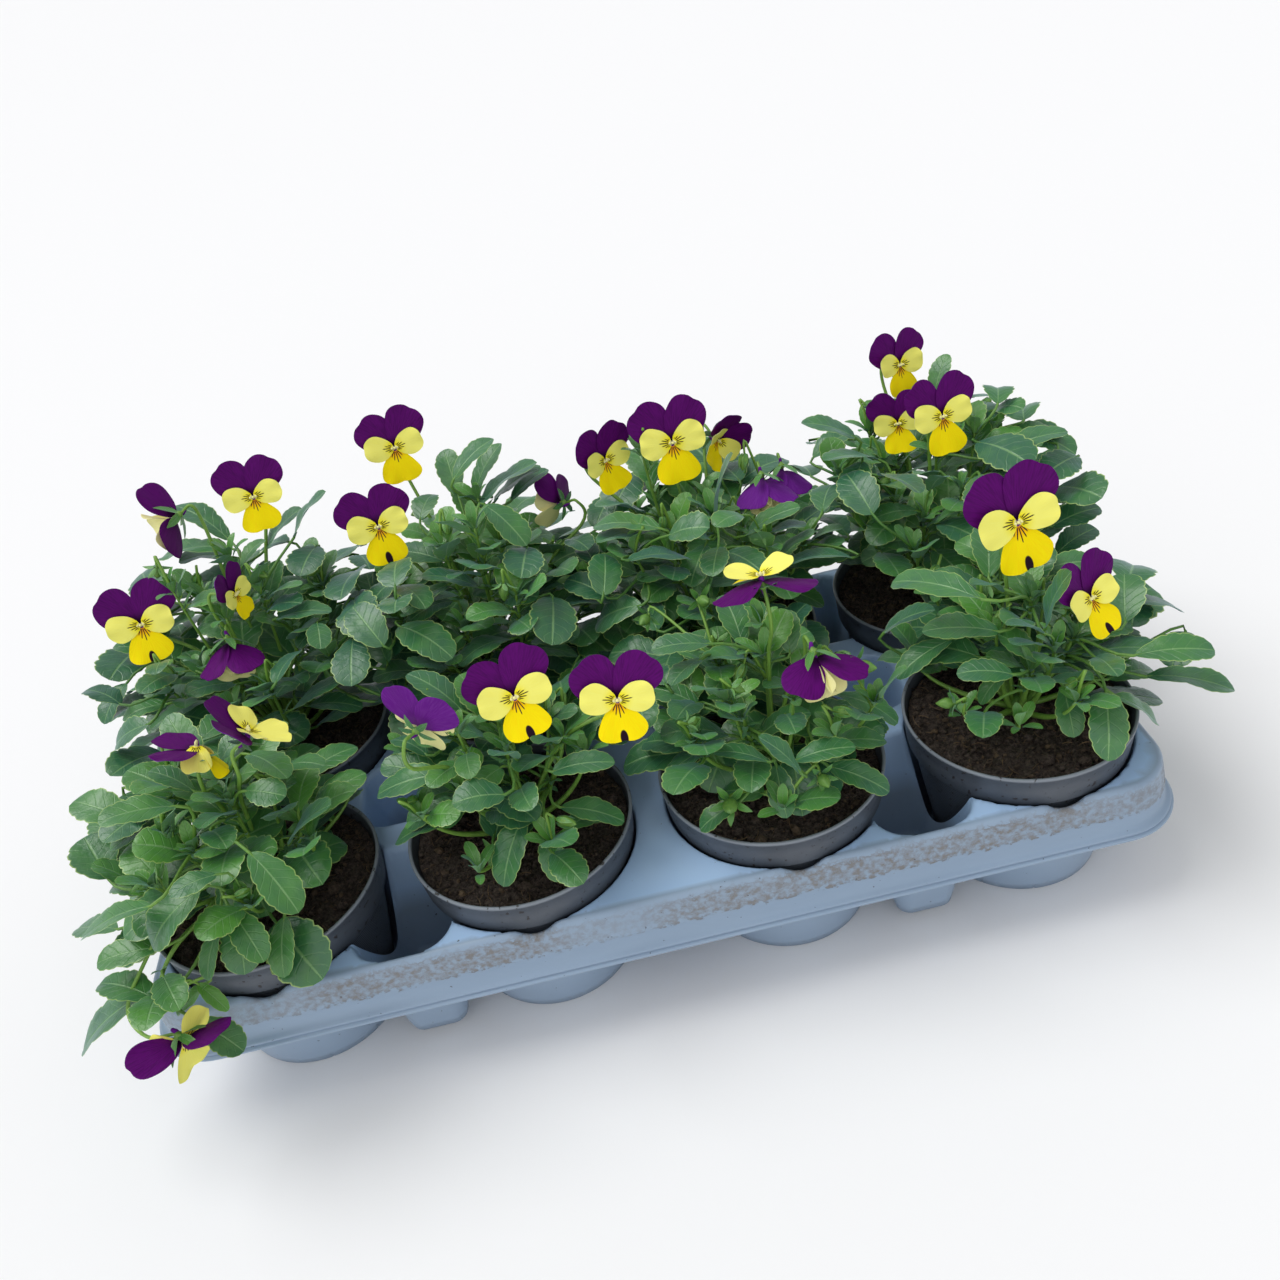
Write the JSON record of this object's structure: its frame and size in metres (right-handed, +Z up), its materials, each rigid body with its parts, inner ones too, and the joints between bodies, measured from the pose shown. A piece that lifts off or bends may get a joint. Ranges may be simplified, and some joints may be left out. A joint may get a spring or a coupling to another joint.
{
  "type": "potted pansy planter",
  "caption": "Small-flowered pansies in round slate-grey nursery pots, standing in a shallow pale blue-grey carry tray with a sloping skirt and a rolled lip.",
  "frame": {"origin": "on the floor under the middle of the object's bounding box", "axes": "+X along the tray's long side to the right seen from the front, +Y to the back, +Z up; the front looks to -Y"},
  "size_m": [0.5983, 0.3394, 0.2733],
  "materials": {
    "tray": "thin thermoformed pale blue-grey plastic sheet, satin, with dried mud on the skirt",
    "pot": "slate grey moulded plastic, satin, with fine ribs below a smooth collar",
    "soil": "moist peat potting compost, dark brown, crumbly and fibrous",
    "foliage": "living leaves and stems, waxy grey-green above, brighter green on young growth",
    "petal_purple": "velvety deep purple petals",
    "petal_yellow": "soft yellow petals with dark whiskers and an orange throat"
  },
  "bodies": {
    "root": {"tray": "tray", "pot_a1": "pot", "soil_a1": "soil", "foliage_a1": "foliage", "pot_a2": "pot", "soil_a2": "soil", "foliage_a2": "foliage", "pot_a3": "pot", "soil_a3": "soil", "foliage_a3": "foliage", "pot_a4": "pot", "soil_a4": "soil", "foliage_a4": "foliage", "pot_b1": "pot", "soil_b1": "soil", "foliage_b1": "foliage", "pot_b2": "pot", "soil_b2": "soil", "foliage_b2": "foliage", "pot_b3": "pot", "soil_b3": "soil", "foliage_b3": "foliage", "pot_b4": "pot", "soil_b4": "soil", "foliage_b4": "foliage", "bloom_b1_1": "petal_purple", "bloom_b1_2_upper": "petal_purple", "bloom_b1_2_lower": "petal_yellow", "bloom_b1_3_upper": "petal_purple", "bloom_b1_3_lower": "petal_yellow", "bloom_b1_4": "petal_purple", "bloom_b1_5": "petal_purple", "bloom_b2_1_upper": "petal_purple", "bloom_b2_1_lower": "petal_yellow", "bloom_b2_2_upper": "petal_purple", "bloom_b2_2_lower": "petal_yellow", "bloom_b2_3": "petal_purple", "bloom_b3_1": "petal_purple", "bloom_b3_2_upper": "petal_purple", "bloom_b3_2_lower": "petal_yellow", "bloom_b3_3": "petal_purple", "bloom_b3_4": "petal_purple", "bloom_b3_5": "petal_purple", "bloom_a3_1": "petal_purple", "bloom_a3_2": "petal_purple", "bloom_b4_1": "petal_purple", "bloom_b4_2": "petal_purple", "bloom_b4_3_upper": "petal_purple", "bloom_b4_3_lower": "petal_yellow", "bloom_a4_1_upper": "petal_purple", "bloom_a4_1_lower": "petal_yellow", "bloom_a4_2": "petal_purple", "bloom_a2_1_upper": "petal_purple", "bloom_a2_1_lower": "petal_yellow", "bloom_a2_2_upper": "petal_purple", "bloom_a2_2_lower": "petal_yellow", "bloom_a2_3": "petal_purple", "bloom_a1_1": "petal_purple", "bloom_a1_2": "petal_purple", "bloom_a1_3": "petal_purple"}
  },
  "joints": []
}
